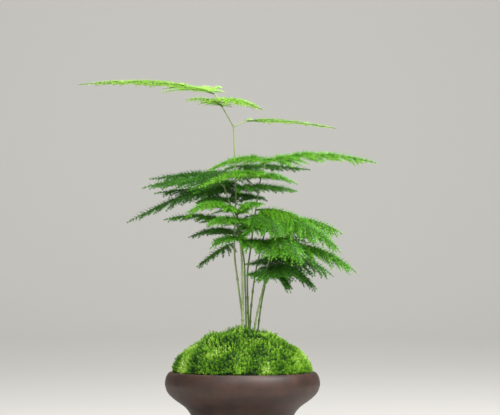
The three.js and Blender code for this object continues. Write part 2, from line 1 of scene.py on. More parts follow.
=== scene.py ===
"""A lace fern in a round clay pot, dressed over its solids.

Every stem and frond is grown again by the rules of the solids, with its fine branchlets and all its
needles, and the moss gets its single shoots. Shapes are worked out in millimetres and turned to metres
where a mesh is made.
"""

import logging
import math
from dataclasses import dataclass, field
from enum import Enum
from typing import Any

import bpy
import numpy as np
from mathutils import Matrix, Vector

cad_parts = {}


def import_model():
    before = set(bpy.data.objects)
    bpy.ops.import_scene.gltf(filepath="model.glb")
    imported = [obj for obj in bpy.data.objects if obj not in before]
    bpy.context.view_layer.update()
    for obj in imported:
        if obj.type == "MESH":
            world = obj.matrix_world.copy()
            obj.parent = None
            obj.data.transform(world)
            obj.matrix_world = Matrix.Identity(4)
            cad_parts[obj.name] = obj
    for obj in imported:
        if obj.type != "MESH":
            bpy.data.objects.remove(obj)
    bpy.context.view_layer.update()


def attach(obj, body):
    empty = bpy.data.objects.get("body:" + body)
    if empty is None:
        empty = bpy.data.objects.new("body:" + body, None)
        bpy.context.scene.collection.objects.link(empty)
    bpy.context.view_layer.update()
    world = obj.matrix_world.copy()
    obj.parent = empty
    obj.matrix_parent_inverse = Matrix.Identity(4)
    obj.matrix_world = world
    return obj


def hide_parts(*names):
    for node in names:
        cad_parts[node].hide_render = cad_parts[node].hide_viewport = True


log = logging.getLogger("lace_fern")

MM = 0.001
BODY = "root"
GAP = 0.35  # free space that the solids keep between pieces that touch
STEEP = 0.9  # a way that rises by more than this share of its length is squared up by +X, not by +Z
TINY = 1e-6  # shortest length that is divided by

Triple = tuple[float, float, float]
Pair = tuple[float, float]


class Slot(Enum):
    """The material slots that the pieces take their finish from."""

    CLAY = "clay"
    SOIL = "soil"
    MOSS = "moss"
    STEM = "stem"
    FOLIAGE = "foliage"


class Tone(Enum):
    """The values that a mesh carries on its points, for its material to read."""

    FRESH_AND_SHADE = "freshness_and_shade"  # 0 is dark and 1 is pale: tone that differs at random, newly grown points, and painted shade on the rear and lower fronds and deep in the moss
    WOOD = "woodiness"  # 0 is a needle, 1 is the bark of a twig


class Stream:
    """Evenly spread numbers from 0 to 1: the same on every run, and those of the solids."""

    FACTOR = 16807
    LIMIT = 2147483647

    def __init__(self, seed: int) -> None:
        """Starts the stream.

        Args:
            seed: A whole number over 0.
        """
        self.state = seed

    def next(self) -> float:
        """Gives the next number from 0 to 1."""
        self.state = (self.state * self.FACTOR) % self.LIMIT
        return self.state / self.LIMIT

    def around(self, spread: float) -> float:
        """Gives a number from minus spread to spread."""
        return (2 * self.next() - 1) * spread


def unit(vectors: np.ndarray) -> np.ndarray:
    """Gives vectors the length 1."""
    return vectors / np.linalg.norm(vectors, axis=-1, keepdims=True)


def direction(heading: float, rise: float) -> np.ndarray:
    """Turns a heading from +X and a rise over the level, in degrees, into a vector."""
    level, turned = math.cos(math.radians(rise)), math.radians(heading)
    return np.array([level * math.cos(turned), level * math.sin(turned), math.sin(math.radians(rise))])


def bearing(way: np.ndarray) -> Pair:
    """Turns a vector of length 1 into its heading from +X and its rise over the level, in degrees."""
    return math.degrees(math.atan2(way[1], way[0])), math.degrees(math.asin(way[2]))


def bow(foot: np.ndarray, way: Triple, bend: Pair, steps: int) -> np.ndarray:
    """Draws a line that turns and droops evenly from its foot to its tip.

    Args:
        foot: Where it starts.
        way: Its heading and rise at the foot in degrees, and its length.
        bend: How far it turns and how far it droops up to its tip.
        steps: The number of straight lengths.

    Returns:
        The line's points.
    """
    heading, rise, length = way
    turn, droop = bend
    points = [foot]
    for i in range(steps):
        share = (i + 0.5) / steps
        along = direction(heading + turn * share, rise - droop * share)
        points.append(points[-1] + along * length / steps)
    return np.array(points)


def curve_through(points: np.ndarray, steps: int) -> np.ndarray:
    """Draws a smooth line through points.

    Args:
        points: The points, in order.
        steps: The number of straight lengths between two of them.

    Returns:
        The line's points.
    """
    ends = [2 * points[0] - points[1], 2 * points[-1] - points[-2]]
    padded = np.vstack([ends[:1], points, ends[1:]])
    line = []
    for a, b, c, d in zip(padded, padded[1:], padded[2:], padded[3:]):
        for t in np.arange(steps) / steps:
            leave, arrive = (c - a) / 2, (d - b) / 2
            bent = (2 * b - 2 * c + leave + arrive) * t**3 + (3 * c - 3 * b - 2 * leave - arrive) * t**2
            line.append(bent + leave * t + b)
    return np.array([*line, points[-1]])


def places_on(points: np.ndarray, shares: np.ndarray | float) -> tuple[np.ndarray, np.ndarray]:
    """Finds one place or several on a line.

    Args:
        points: The line's points.
        shares: How far along its length each place is, from 0 to 1.

    Returns:
        The places, and the way that the line runs at each.
    """
    steps = np.linalg.norm(np.diff(points, axis=0), axis=1)
    reached = np.concatenate([[0.0], np.cumsum(steps)])
    wanted = np.asarray(shares) * reached[-1]
    places = np.stack([np.interp(wanted, reached, points[:, k]) for k in range(3)], axis=-1)
    index = np.clip(np.searchsorted(reached, wanted, side="right") - 1, 0, len(steps) - 1)
    return places, unit(np.diff(points, axis=0))[index]


def length_of(points: np.ndarray) -> float:
    """Measures a line."""
    return float(np.linalg.norm(np.diff(points, axis=0), axis=1).sum())


def vary(draws: np.random.Generator, spread: Pair, count: int | None = None) -> Any:
    """Draws numbers from the first of a pair up to the sum of both."""
    return spread[0] + spread[1] * draws.random(count)


def leaned(stalks: np.ndarray, helper: np.ndarray, turn: np.ndarray, lean: np.ndarray) -> np.ndarray:
    """Gives the ways of leaves that lean off their stalks.

    Args:
        stalks: The way that each leaf's stalk runs.
        helper: A way straight across each stalk.
        turn: How far each leaf is turned about its stalk from there.
        lean: How far it leans off it.

    Returns:
        The way that each leaf points.
    """
    turn, lean = turn[:, None], lean[:, None]
    sideways = np.cos(turn) * helper + np.sin(turn) * np.cross(stalks, helper)
    return np.cos(lean) * stalks + np.sin(lean) * sideways


def skin(rings: int, sides: int) -> np.ndarray:
    """Closes rings of points into one surface. The middles of its two ends are numbered after the rings.

    Args:
        rings: The number of rings.
        sides: The number of points in each.

    Returns:
        Three point numbers for each triangle.
    """
    ring = np.arange(sides)
    turned = (ring + 1) % sides
    first = np.arange(rings - 1)[:, None] * sides
    here, beside = first + ring, first + turned
    last = (rings - 1) * sides
    return np.concatenate([
        np.stack([here, beside, beside + sides], -1).reshape(-1, 3),
        np.stack([here, beside + sides, here + sides], -1).reshape(-1, 3),
        np.stack([np.full(sides, last + sides), turned, ring], -1),
        np.stack([np.full(sides, last + sides + 1), ring + last, turned + last], -1),
    ])


class Surface:
    """Points and triangles gathered for one mesh, in millimetres, with a tone for each point."""

    def __init__(self) -> None:
        """Starts with nothing gathered."""
        self.points: list[np.ndarray] = []
        self.triangles: list[np.ndarray] = []
        self.smooth: list[np.ndarray] = []
        self.tones: dict[Tone, list[np.ndarray]] = {tone: [] for tone in Tone}
        self.count = 0

    def add(self, points: np.ndarray, triangles: np.ndarray, smooth: bool, fresh_and_shade: Any,
            wood: float = 0.0) -> None:
        """Adds closed shapes.

        Args:
            points: Their points.
            triangles: Three point numbers for each triangle.
            smooth: Whether light runs smoothly over their edges.
            fresh_and_shade: Freshness, one value or one for each point.
            wood: Woodiness of all the points.
        """
        self.points.append(points)
        self.triangles.append(triangles + self.count)
        self.smooth.append(np.full(len(triangles), smooth))
        self.tones[Tone.FRESH_AND_SHADE].append(np.broadcast_to(np.asarray(fresh_and_shade, float), len(points)))
        self.tones[Tone.WOOD].append(np.full(len(points), float(wood)))
        self.count += len(points)

    def tube(self, line: np.ndarray, radii: np.ndarray, sides: int, fresh_and_shade: Any, wood: float = 1.0) -> None:
        """Adds a closed tube.

        Args:
            line: The points that it follows.
            radii: Its radius at each of them.
            sides: The number of its sides.
            fresh_and_shade: Freshness, one value or one for each point of the line.
            wood: Woodiness of the tube.
        """
        along = unit(np.gradient(line, axis=0))
        side = np.array([1.0, 0.0, 0.0]) if abs(along[0, 2]) > STEEP else np.array([0.0, 0.0, 1.0])
        angles = 2 * np.pi * np.arange(sides) / sides
        rings = []
        for place, way, radius in zip(line, along, radii):
            side = unit(side - way * side.dot(way))
            across = np.cross(way, side)
            rings.append(place + radius * (np.outer(np.cos(angles), side) + np.outer(np.sin(angles), across)))
        points = np.vstack([*rings, line[:1], line[-1:]])
        shades = np.broadcast_to(np.asarray(fresh_and_shade, float), len(line))
        spread = np.concatenate([np.repeat(shades, sides), shades[:1], shades[-1:]])
        self.add(points, skin(len(line), sides), True, spread, wood)

    def spikes(self, feet: np.ndarray, ways: np.ndarray, lengths: Any, radii: Any, fresh_and_shade: Any,
               pale: float) -> None:
        """Adds slim three-sided spikes.

        Args:
            feet: The middle of each one's foot.
            ways: The way each one points, with length 1.
            lengths: Their lengths.
            radii: Their radii at the foot.
            fresh_and_shade: Freshness at the foot, one value or one for each spike.
            pale: How much fresher each one is at its tip.
        """
        count = len(feet)
        given = (np.broadcast_to(np.asarray(x, float), count) for x in (lengths, radii, fresh_and_shade))
        lengths, radii, fresh_and_shade = given
        helper = np.where(np.abs(ways[:, 2:]) < STEEP, [[0.0, 0.0, 1.0]], [[1.0, 0.0, 0.0]])
        side = unit(np.cross(ways, helper))
        across = np.cross(ways, side)
        corners = []
        for angle in 2 * np.pi * np.arange(3) / 3:
            corners.append(feet + radii[:, None] * (math.cos(angle) * side + math.sin(angle) * across))
        points = np.stack([*corners, feet + ways * lengths[:, None]], axis=1).reshape(-1, 3)
        four = np.array([[0, 2, 1], [0, 1, 3], [1, 2, 3], [2, 0, 3]])
        triangles = (4 * np.arange(count)[:, None, None] + four).reshape(-1, 3)
        shades = np.stack([fresh_and_shade, fresh_and_shade, fresh_and_shade, fresh_and_shade + pale], axis=1).ravel()
        self.add(points, triangles, False, shades)

    def turned(self, profile: np.ndarray, sides: int, fresh_and_shade: float = 0.0) -> None:
        """Adds a closed shape turned about the pot's axis.

        Args:
            profile: Radius and height of its points, from the axis round to the axis again.
            sides: The number of its sides.
            fresh_and_shade: Freshness of all its points.
        """
        angles = 2 * np.pi * np.arange(sides) / sides
        inner = profile[1:-1]
        rings = np.stack([
            np.outer(inner[:, 0], np.cos(angles)),
            np.outer(inner[:, 0], np.sin(angles)),
            np.repeat(inner[:, 1:], sides, axis=1),
        ], axis=-1).reshape(-1, 3)
        ends = np.array([[0, 0, profile[0, 1]], [0, 0, profile[-1, 1]]])
        self.add(np.vstack([rings, ends]), skin(len(inner), sides), True, fresh_and_shade)

    def make(self, name: str, material: bpy.types.Material) -> bpy.types.Object:
        """Makes the mesh in metres.

        Args:
            name: The object's name.
            material: Its finish.

        Returns:
            The new object, at the frame's origin.
        """
        points = np.concatenate(self.points) * MM
        triangles = np.concatenate(self.triangles).astype(np.int32)
        mesh = bpy.data.meshes.new(name)
        mesh.vertices.add(len(points))
        mesh.vertices.foreach_set("co", points.astype(np.float32).ravel())
        mesh.loops.add(triangles.size)
        mesh.loops.foreach_set("vertex_index", triangles.ravel())
        mesh.polygons.add(len(triangles))
        mesh.polygons.foreach_set("loop_start", np.arange(0, triangles.size, 3, dtype=np.int32))
        mesh.polygons.foreach_set("use_smooth", np.concatenate(self.smooth))
        for tone, values in self.tones.items():
            layer = mesh.attributes.new(tone.value, "FLOAT", "POINT")
            layer.data.foreach_set("value", np.concatenate(values).astype(np.float32))
        mesh.update(calc_edges=True)
        mesh.materials.append(material)
        made = bpy.data.objects.new(name, mesh)
        bpy.context.scene.collection.objects.link(made)
        log.info("%s: %d triangles", name, len(triangles))
        return made


def settle(piece: bpy.types.Object, node: str) -> None:
    """Lets a piece stand for its solid and ride with the pot.

    Args:
        piece: The finished piece.
        node: The solid's name.
    """
    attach(piece, BODY)
    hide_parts(node)


def linear(code: str) -> tuple[float, float, float, float]:
    """Turns an sRGB hex value such as #7fae3a into a linear colour."""
    shares = [int(code[k : k + 2], 16) / 255 for k in (1, 3, 5)]
    return (*(s / 12.92 if s <= 0.04045 else ((s + 0.055) / 1.055) ** 2.4 for s in shares), 1.0)


def add_node(tree: bpy.types.NodeTree, kind: str, settings: dict[Any, Any],
             links: dict[Any, Any]) -> Any:
    """Adds a node with its settings and links.

    Args:
        tree: The material's nodes.
        kind: The node's type.
        settings: A value for each property or input that isn't left as it is.
        links: The output socket that feeds each input, by the input's name or number.

    Returns:
        The new node.
    """
    node = tree.nodes.new(kind)
    for name, value in settings.items():
        if isinstance(name, str) and hasattr(node, name):
            setattr(node, name, value)
        else:
            node.inputs[name].default_value = value
    for name, source in links.items():
        tree.links.new(source, node.inputs[name])
    return node


def blank_material(name: str) -> tuple[bpy.types.Material, bpy.types.NodeTree]:
    """Makes a material with no nodes.

    Args:
        name: The material's name.

    Returns:
        The material and its nodes.
    """
    material = bpy.data.materials.new(name)
    material.use_nodes = True
    material.node_tree.nodes.clear()
    return material, material.node_tree


@dataclass(frozen=True)
class ClayFinish:
    """Dark purple-brown clay, fired without a glaze and polished by handling to a broad soft shine."""

    dark: str = "#2c1a13"
    light: str = "#4c2f23"
    fleck: str = "#7d6155"
    mottle_mm: float = 14.0
    mottle_detail: float = 5.0
    mottle_stretch: Pair = (0.3, 0.7)  # of the noise, from all dark to all light
    grain_mm: float = 0.7
    grain_detail: float = 3.0
    grain_depth_mm: float = 0.12
    grain_strength: float = 0.25
    fleck_mm: float = 0.9
    fleck_stretch: Pair = (0.16, 0.06)  # of the distance from a fleck's middle, from its edge to its core
    fleck_share: float = 0.45  # how much of its own colour it shows at its core
    roughness: Pair = (0.5, 0.6)
    shine: float = 0.7

    def material(self) -> bpy.types.Material:
        """Makes the clay: mottled colour, sparse pale flecks and a fine grain under the shine.

        Returns:
            The new material.
        """
        made, tree = blank_material("unglazed_polished_clay")
        at = {"Vector": add_node(tree, "ShaderNodeTexCoord", {}, {}).outputs["Object"]}
        mottle = add_node(tree, "ShaderNodeTexNoise",
                          {"Scale": 1 / (self.mottle_mm * MM), "Detail": self.mottle_detail}, at)
        grain = add_node(tree, "ShaderNodeTexNoise",
                         {"Scale": 1 / (self.grain_mm * MM), "Detail": self.grain_detail}, at)
        flecks = add_node(tree, "ShaderNodeTexVoronoi", {"Scale": 1 / (self.fleck_mm * MM)}, at)
        low, high = self.mottle_stretch
        spread = add_node(tree, "ShaderNodeMapRange", {"From Min": low, "From Max": high},
                          {"Value": mottle.outputs["Fac"]})
        body = add_node(tree, "ShaderNodeMix",
                        {"data_type": "RGBA", 6: linear(self.dark), 7: linear(self.light)},
                        {0: spread.outputs["Result"]})
        edge, core = self.fleck_stretch
        sparse = add_node(tree, "ShaderNodeMapRange",
                          {"From Min": edge, "From Max": core, "To Max": self.fleck_share},
                          {"Value": flecks.outputs["Distance"]})
        colour = add_node(tree, "ShaderNodeMix", {"data_type": "RGBA", 7: linear(self.fleck)},
                          {0: sparse.outputs["Result"], 6: body.outputs[2]})
        smoothest, roughest = self.roughness
        rough = add_node(tree, "ShaderNodeMapRange", {"To Min": smoothest, "To Max": roughest},
                         {"Value": mottle.outputs["Fac"]})
        bump = add_node(tree, "ShaderNodeBump",
                        {"Strength": self.grain_strength, "Distance": self.grain_depth_mm * MM},
                        {"Height": grain.outputs["Fac"]})
        shader = add_node(tree, "ShaderNodeBsdfPrincipled", {"Specular IOR Level": self.shine}, {
            "Base Color": colour.outputs[2], "Roughness": rough.outputs["Result"],
            "Normal": bump.outputs["Normal"]})
        add_node(tree, "ShaderNodeOutputMaterial", {}, {"Surface": shader.outputs["BSDF"]})
        return made


@dataclass(frozen=True)
class SoilFinish:
    """Moist peaty potting soil: dark crumbs with no shine, with painted shade between them."""

    dark: str = "#1c130c"
    light: str = "#4a3626"
    crumb_mm: float = 1.6
    crumb_depth_mm: float = 0.6
    crumb_strength: float = 0.8
    roughness: float = 0.95

    def material(self) -> bpy.types.Material:
        """Makes the soil: crumbs as colour and as small bumps, the colour darker where the crumbs dip at
        their edges, as painted shade.

        Returns:
            The new material.
        """
        made, tree = blank_material("moist_potting_soil")
        place = add_node(tree, "ShaderNodeTexCoord", {}, {}).outputs["Object"]
        crumbs = add_node(tree, "ShaderNodeTexVoronoi", {"Scale": 1 / (self.crumb_mm * MM)},
                          {"Vector": place})
        # Painted shade: darker towards each crumb's edge, where the bump sinks between crumbs.
        colour = add_node(tree, "ShaderNodeMix",
                          {"data_type": "RGBA", 6: linear(self.light), 7: linear(self.dark)},
                          {0: crumbs.outputs["Distance"]})
        bump = add_node(tree, "ShaderNodeBump",
                        {"Strength": self.crumb_strength, "Distance": self.crumb_depth_mm * MM,
                         "invert": True}, {"Height": crumbs.outputs["Distance"]})
        shader = add_node(tree, "ShaderNodeBsdfPrincipled", {"Roughness": self.roughness},
                          {"Base Color": colour.outputs[2], "Normal": bump.outputs["Normal"]})
        add_node(tree, "ShaderNodeOutputMaterial", {}, {"Surface": shader.outputs["BSDF"]})
        return made


@dataclass(frozen=True)
class LeafFinish:
    """A thin living green surface whose colour goes from dark to pale with its tone, which also carries
    painted shade.
    """

    name: str
    steps: tuple[tuple[float, str], ...]
    bark: str
    roughness: float
    patch_mm: float
    patch: float
    patch_detail: float = 2.0

    def material(self) -> bpy.types.Material:
        """Makes the leaf: its tone with its painted shade, varied in soft patches, picks its colour, and bark
        has its own.

        Returns:
            The new material.
        """
        made, tree = blank_material(self.name)
        place = add_node(tree, "ShaderNodeTexCoord", {}, {}).outputs["Object"]
        fresh_and_shade = add_node(tree, "ShaderNodeAttribute", {"attribute_name": Tone.FRESH_AND_SHADE.value}, {}).outputs["Fac"]
        wood = add_node(tree, "ShaderNodeAttribute", {"attribute_name": Tone.WOOD.value}, {}).outputs["Fac"]
        noise = add_node(tree, "ShaderNodeTexNoise",
                         {"Scale": 1 / (self.patch_mm * MM), "Detail": self.patch_detail},
                         {"Vector": place})
        patch = add_node(tree, "ShaderNodeMapRange", {"To Min": -self.patch, "To Max": self.patch},
                         {"Value": noise.outputs["Fac"]})
        varied = add_node(tree, "ShaderNodeMath", {"operation": "ADD", "use_clamp": True},
                          {0: fresh_and_shade, 1: patch.outputs["Result"]})
        ramp = add_node(tree, "ShaderNodeValToRGB", {}, {"Fac": varied.outputs["Value"]})
        stops = ramp.color_ramp.elements
        while len(stops) < len(self.steps):
            stops.new(0.5)
        for stop, (position, code) in zip(stops, self.steps):
            stop.position = position
            stop.color = linear(code)
        colour = add_node(tree, "ShaderNodeMix", {"data_type": "RGBA", 7: linear(self.bark)},
                          {0: wood, 6: ramp.outputs["Color"]})
        shader = add_node(tree, "ShaderNodeBsdfPrincipled", {"Roughness": self.roughness},
                          {"Base Color": colour.outputs[2]})
        add_node(tree, "ShaderNodeOutputMaterial", {}, {"Surface": shader.outputs["BSDF"]})
        return made


# Needles: deep green as painted shade on the rear and lower fronds, yellow-green on those in front and on
# top, with pale points.
NEEDLES = LeafFinish(
    "lace_fern_needles",
    ((0.0, "#0b2405"), (0.3, "#21580f"), (0.6, "#4f9e18"), (0.8, "#82cf22"), (1.0, "#bce860")),
    bark="#4d7030", roughness=0.5, patch_mm=6.0, patch=0.12)

# Moss: nearly black-green deep between the shoots as painted shade, yellow-green on them, and pale where
# their points dry.
MOSS_LEAVES = LeafFinish(
    "cushion_moss",
    ((0.0, "#071703"), (0.3, "#2c620d"), (0.6, "#78b61d"), (0.85, "#b6e444"), (1.0, "#dcefa0")),
    bark="#5a6b28", roughness=0.62, patch_mm=9.0, patch=0.16)

# Stems: wiry and waxy, green below and paler with grey bloom towards the top and at the joints.
STEM_BARK = LeafFinish(
    "waxy_green_stem", ((0.0, "#395222"), (0.5, "#748f47"), (1.0, "#b6c892")),
    bark="#9c8f5c", roughness=0.42, patch_mm=5.0, patch=0.15)


@dataclass(frozen=True)
class FloorFinish:
    """Matt pale card that the pot stands on."""

    colour: str = "#b8b6b1"
    roughness: float = 0.9

    def material(self) -> bpy.types.Material:
        """Makes the card: one even pale colour.

        Returns:
            The new material.
        """
        made, tree = blank_material("pale_card")
        settings = {"Base Color": linear(self.colour), "Roughness": self.roughness}
        shader = add_node(tree, "ShaderNodeBsdfPrincipled", settings, {})
        add_node(tree, "ShaderNodeOutputMaterial", {}, {"Surface": shader.outputs["BSDF"]})
        return made


@dataclass
class ClayPot:
    """The turned clay pot: flat foot, narrow waist, wide shoulder, rolled lip, and drain holes."""

    height: float = 62
    radius: float = 62.4
    shoulder: float = 51.5
    lip_radius: float = 57.4
    lip_roll: float = 4
    wall: tuple[Pair, ...] = ((39, 1.2), (39.5, 14), (40.6, 25), (45.6, 33), (54.8, 40), (60.2, 45.4))
    hollow: tuple[Pair, ...] = ((53.6, 49), (48.4, 41), (38, 33), (34, 22), (32, 8.5))
    foot_bevel: float = 1.2
    wall_steps: int = 8
    lip_steps: int = 14
    sides: int = 144
    ripple: float = 0.07  # depth of the marks that the fingers left while it was turned
    ripple_spacing: float = 2.7
    ripple_drift: float = 5  # height over which their spacing wanders
    drains: int = 3
    drain_radius: float = 4
    drain_circle: float = 19
    drain_sides: int = 32

    def profile(self) -> np.ndarray:
        """Works out the pot's outline.

        Returns:
            Radius and height of its points, from the middle of its foot to that of its floor.
        """
        outside = curve_through(np.array([*self.wall, (self.radius, self.shoulder)], float), self.wall_steps)
        heights = outside[:, 1]
        drift = np.sin(heights / self.ripple_drift)
        outside[:, 0] += self.ripple * np.sin(2 * np.pi * heights / self.ripple_spacing + drift)
        quarter = np.linspace(0, np.pi / 2, self.lip_steps)[1:]
        rise = self.height - self.shoulder
        lip = np.stack([self.lip_radius + (self.radius - self.lip_radius) * np.cos(quarter),
                        self.shoulder + rise * np.sin(quarter)], axis=-1)
        roll = np.stack([self.lip_radius - self.lip_roll * np.sin(quarter),
                         self.height - self.lip_roll + self.lip_roll * np.cos(quarter)], axis=-1)
        foot = self.wall[0][0] - self.foot_bevel
        floor = self.hollow[-1][1]
        return np.vstack([[(0, 0), (foot, 0)], outside, lip, roll, self.hollow, [(0, floor)]])

    def build(self) -> None:
        """Makes the pot and cuts its drain holes."""
        surface = Surface()
        surface.turned(self.profile(), self.sides)
        pot = surface.make("clay_pot", ClayFinish().material())
        cutter = Surface()
        reach = 3 * self.hollow[-1][1]
        for turn in 2 * np.pi * np.arange(self.drains) / self.drains + np.pi / 2:
            foot = np.array([self.drain_circle * math.cos(turn), self.drain_circle * math.sin(turn), -reach])
            line = np.array([foot, foot + [0, 0, 2 * reach]])
            cutter.tube(line, np.full(2, self.drain_radius), self.drain_sides, 0.0)
        holes = cutter.make("drain_cutter", pot.data.materials[0])
        cut = pot.modifiers.new("drains", "BOOLEAN")
        cut.operation = "DIFFERENCE"
        cut.solver = "EXACT"
        cut.object = holes
        depsgraph = bpy.context.evaluated_depsgraph_get()
        pot.data = bpy.data.meshes.new_from_object(pot.evaluated_get(depsgraph))
        pot.modifiers.clear()
        bpy.data.objects.remove(holes)
        settle(pot, "pot")


@dataclass
class PottingSoil:
    """The soil that fills the pot and rises as a dome under the moss."""

    mouth: float = 53.4
    shoulder: float = 56.5
    edge: float = 2
    radius: float = 47
    rise: float = 29
    sides: int = 72
    rings: int = 14
    crumb: float = 0.5
    seed: int = 5
    hollow: tuple[Pair, ...] = ClayPot.hollow[::-1]

    def build(self) -> None:
        """Makes the soil, with crumbs that never reach the pot's wall."""
        inside = [(r - 2 * GAP, z + GAP) for r, z in self.hollow]
        radii = self.radius * np.cos(np.linspace(0, np.pi / 2, self.rings))
        radii[-1] = 0
        top = [(r, self.shoulder + dome(r, self.radius, self.rise)) for r in radii]
        rim = [(self.mouth - 2 * GAP, self.shoulder - self.edge)]
        surface = Surface()
        surface.turned(np.array([(0, self.hollow[0][1] + GAP), *inside, *rim, *top]), self.sides)
        points = surface.points[0]
        draws = np.random.default_rng(self.seed).random(len(points))
        points[:, :2] *= (1 - self.crumb * draws / self.mouth)[:, None]
        points[:, 2] -= np.where(points[:, 2] > self.shoulder, self.crumb * draws, 0)
        settle(surface.make("potting_soil", SoilFinish().material()), "soil")


DOME_BREADTH = 1.5
DOME_STEEPNESS = 0.52


def dome(r: Any, radius: float, rise: float) -> Any:
    """Gives the height of a dome over its rim at a distance r from its middle."""
    inward = np.maximum(0, 1 - (np.asarray(r) / radius) ** DOME_BREADTH)
    return rise * inward**DOME_STEEPNESS


SWELL_WAVES = 7
SWELL_VARY: Pair = (0.7, 0.8)


def swell(places: np.ndarray, seed: int, size: float) -> np.ndarray:
    """Gives a smooth swell over the ground.

    Args:
        places: Where it is wanted.
        seed: Which swell.
        size: How far its waves are apart.

    Returns:
        Its height at each place, mostly between -1 and 1.
    """
    draws = np.random.default_rng(seed)
    x, y = places[:, 0], places[:, 1]
    total = np.zeros_like(x)
    for _ in range(SWELL_WAVES):
        turn, phase = 2 * np.pi * draws.random(2)
        along = x * math.cos(turn) + y * math.sin(turn)
        total += np.sin(along * 2 * np.pi / (size * vary(draws, SWELL_VARY)) + phase)
    return total / math.sqrt(SWELL_WAVES)


@dataclass
class MossCushion:
    """The moss: a lumpy cushion, nearly black-green as painted shade, covered by upright shoots of small
    pointed leaves.
    """

    radius: float = 53.4
    base: float = 59.5
    rise: float = 35.4
    slope_length: float = 74  # from the middle down to the edge, along the surface
    under: Pair = (1.5, 2.5)  # how far in and how far below its edge the cushion's underside lies
    lump: float = 1.3
    lump_swell: tuple[int, float] = (3, 19)  # seed and size
    plain_rim: float = 1  # height over the edge that has no lumps
    sunk: float = 0.7  # how far the cushion lies under the foot of the shoots
    # Painted shade: the cushion's dark tone stands for the shade deep between the shoots.
    shade: float = 0.08
    sides: int = 96
    rings: int = 40
    seed: int = 11
    spacing: float = 2.35  # between neighbouring shoots
    jitter: float = 0.8
    covered: float = 0.97  # share of the slope that has shoots
    lowest: float = 61.4  # height of the lowest shoot's foot, beside the pot's lip
    pointing: Triple = (0.75, 0.55, 0.5)  # how much a shoot points straight out, up, and any way
    shoot: float = 3.1  # length of a shoot's stalk over the cushion
    shoot_vary: Pair = (0.7, 0.55)
    shoot_wave: float = 0.22
    shoot_swell: tuple[int, float] = (8, 9)
    tone: Triple = (0.54, 0.17, 0.3)  # middle tone, and how much it varies by patch and by shoot
    tone_swell: tuple[int, float] = (21, 16)
    leaf: float = 2.1
    leaf_radius: float = 0.4
    # Rings of leaves on a shoot: how far up its stalk, how many leaves, and their lean in degrees.
    leaf_rings: tuple[tuple[float, int, float], ...] = ((0.3, 3, 66), (0.6, 3, 52), (0.9, 3, 34))
    leaf_turn: float = 0.6
    lean_vary: Pair = (0.8, 0.4)
    leaf_vary: Pair = (0.75, 0.5)
    # Shares of a leaf's length and radius at the foot of the stalk, and what they lose up to its tip.
    shorter_up: Pair = (1.15, 0.35)
    slimmer_up: Pair = (1.1, 0.3)
    painted_foot_shade: float = 0.42  # painted shade: how much darker a leaf is at the foot of the stalk than at its tip
    leaf_pale: float = 0.24
    tip_leaf: Triple = (0.55, 0.3, 0.55)  # its length over the stalk in leaves, the painted shade at its foot, and its pale tip

    def on_dome(self, x: np.ndarray, y: np.ndarray) -> tuple[np.ndarray, np.ndarray]:
        """Lays points of a flat disc over the dome, so that they stay evenly apart along its surface.

        Args:
            x: Their places along X on the flat disc.
            y: Their places along Y on it.

        Returns:
            Their places on the dome, and the way that points straight out of it at each.
        """
        down = np.maximum(np.hypot(x, y), TINY)
        slope = np.pi / 2 * np.minimum(1, down / self.slope_length)
        r = self.radius * np.sin(slope)
        height = self.base + dome(r, self.radius, self.rise)
        out = np.stack([x / down * np.sin(slope), y / down * np.sin(slope), np.cos(slope)], axis=-1)
        return np.stack([x / down * r, y / down * r, height], axis=-1), out

    def lumps(self, places: np.ndarray) -> np.ndarray:
        """Gives how far the lumps raise the cushion at some places."""
        return self.lump * swell(places, *self.lump_swell) - self.sunk

    def cushion(self) -> Surface:
        """Shapes the cushion that closes the gaps between the shoots, nearly black-green as painted shade.

        Returns:
            Its surface.
        """
        downs = np.linspace(self.slope_length, 0, self.rings)
        radii = self.radius * np.sin(np.pi / 2 * downs / self.slope_length)
        top = np.stack([radii, self.base + dome(radii, self.radius, self.rise)], axis=-1)
        inward, below = self.under
        low = self.base - below
        surface = Surface()
        surface.turned(np.vstack([[(0, low), (self.radius - inward, low)], top]), self.sides, self.shade)
        points = surface.points[0]
        points[:, 2] += np.where(points[:, 2] > self.base + self.plain_rim, self.lumps(points), 0)
        return surface

    def shoots(self) -> Surface:
        """Shapes every shoot: rings of leaves on its stalk, and one leaf on its tip.

        Returns:
            Their surface.
        """
        draws = np.random.default_rng(self.seed)
        reach = math.ceil((self.slope_length + self.spacing) / self.spacing)
        rows = np.arange(-reach, reach + 1)
        column, row = np.meshgrid(rows, rows)
        x = (column + 0.5 * (row % 2)).ravel() * self.spacing
        y = row.ravel() * self.spacing * math.sqrt(3) / 2
        x = x + self.spacing * (draws.random(len(x)) - 0.5) * self.jitter
        y = y + self.spacing * (draws.random(len(y)) - 0.5) * self.jitter
        keep = np.hypot(x, y) < self.slope_length * self.covered
        feet, out = self.on_dome(x[keep], y[keep])
        feet[:, 2] = np.maximum(feet[:, 2] + self.lumps(feet), self.lowest)
        count = len(feet)
        straight, up, astray = self.pointing
        upward = unit(straight * out + np.array([0, 0, up]) + astray * (draws.random((count, 3)) - 0.5))
        tall = self.shoot * vary(draws, self.shoot_vary, count)
        tall = tall * (1 + self.shoot_wave * swell(feet, *self.shoot_swell))
        middle, by_patch, by_shoot = self.tone
        tone = middle + by_patch * swell(feet, *self.tone_swell) + by_shoot * (draws.random(count) - 0.5)
        helper = unit(np.cross(upward, np.array([1.0, 0.0, 0.0])))
        surface = Surface()
        for level, leaves, lean in self.leaf_rings:
            first = draws.random(count) * 2 * np.pi
            shorter = self.shorter_up[0] - self.shorter_up[1] * level
            slimmer = self.slimmer_up[0] - self.slimmer_up[1] * level
